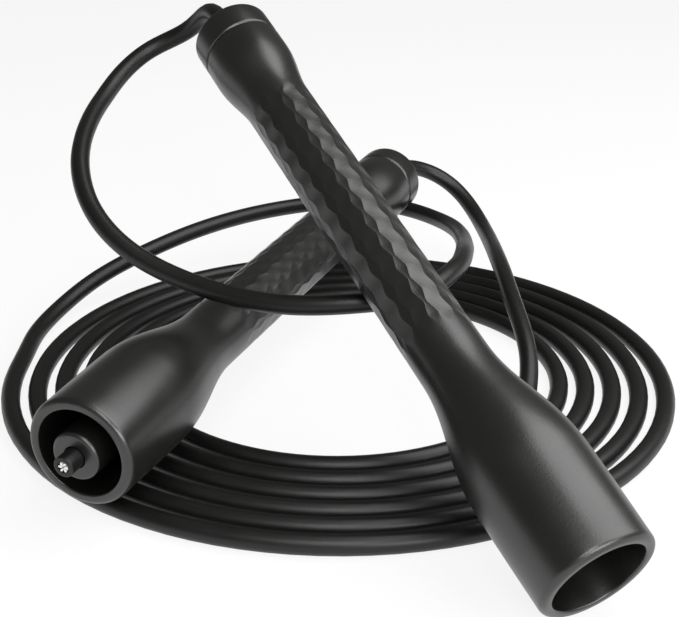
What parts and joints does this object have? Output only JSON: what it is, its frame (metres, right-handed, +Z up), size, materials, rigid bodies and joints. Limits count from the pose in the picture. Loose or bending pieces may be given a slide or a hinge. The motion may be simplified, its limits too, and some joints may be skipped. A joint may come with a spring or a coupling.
{
  "type": "jump rope",
  "caption": "Jump rope with hollow bell-ended plastic handles that spin on a flexible cord, laid out in a flat coil.",
  "frame": {"origin": "on the table, under the middle of the handles' box", "axes": "+Z up from the table, +Y along the handles' longest extent, from the bell mouths towards the caps"},
  "size_m": [0.1815, 0.2313, 0.0992],
  "materials": {
    "handle_plastic": "satin black moulded plastic",
    "cap_plastic": "satin black moulded plastic",
    "bush_plastic": "natural white acetal",
    "washer_steel": "plain steel",
    "stopper_plastic": "black moulded plastic",
    "screw_steel": "dark steel",
    "rope_jacket": "satin gloss black PVC",
    "rope_core": "white fibre core"
  },
  "bodies": {
    "rope": {"rope_coil": "rope_jacket", "rope_lead_a": "rope_jacket", "rope_lead_b": "rope_jacket", "rope_tail_a": "rope_jacket", "rope_tail_b": "rope_jacket", "rope_core_a": "rope_core", "rope_core_b": "rope_core"},
    "handle_a": {"handle_shell_a": "handle_plastic", "end_cap_a": "cap_plastic", "cap_bush_a": "bush_plastic", "thrust_washer_a": "washer_steel"},
    "handle_b": {"handle_shell_b": "handle_plastic", "end_cap_b": "cap_plastic", "cap_bush_b": "bush_plastic", "thrust_washer_b": "washer_steel"},
    "stopper_a": {"stopper_collar_a": "stopper_plastic", "stopper_screw_a": "screw_steel"},
    "stopper_b": {"stopper_collar_b": "stopper_plastic", "stopper_screw_b": "screw_steel"}
  },
  "joints": [
    {"name": "handle_a_spin", "type": "hinge", "parent": "rope", "child": "handle_a", "pos_m": [0.05463, -0.09995, 0.01166], "axis": [-0.4455, 0.783, 0.4341], "continuous": true},
    {"name": "handle_b_spin", "type": "hinge", "parent": "rope", "child": "handle_b", "pos_m": [-0.05437, -0.06055, 0.01827], "axis": [0.4093, 0.9099, 0.0677], "continuous": true},
    {"name": "stopper_a_slide", "type": "slide", "parent": "rope", "child": "stopper_a", "axis": [-0.4455, 0.783, 0.4341], "range_m": [-0.0044, 0]},
    {"name": "stopper_b_slide", "type": "slide", "parent": "rope", "child": "stopper_b", "axis": [0.4093, 0.9099, 0.0677], "range_m": [-0.0044, 0.0375]}
  ]
}
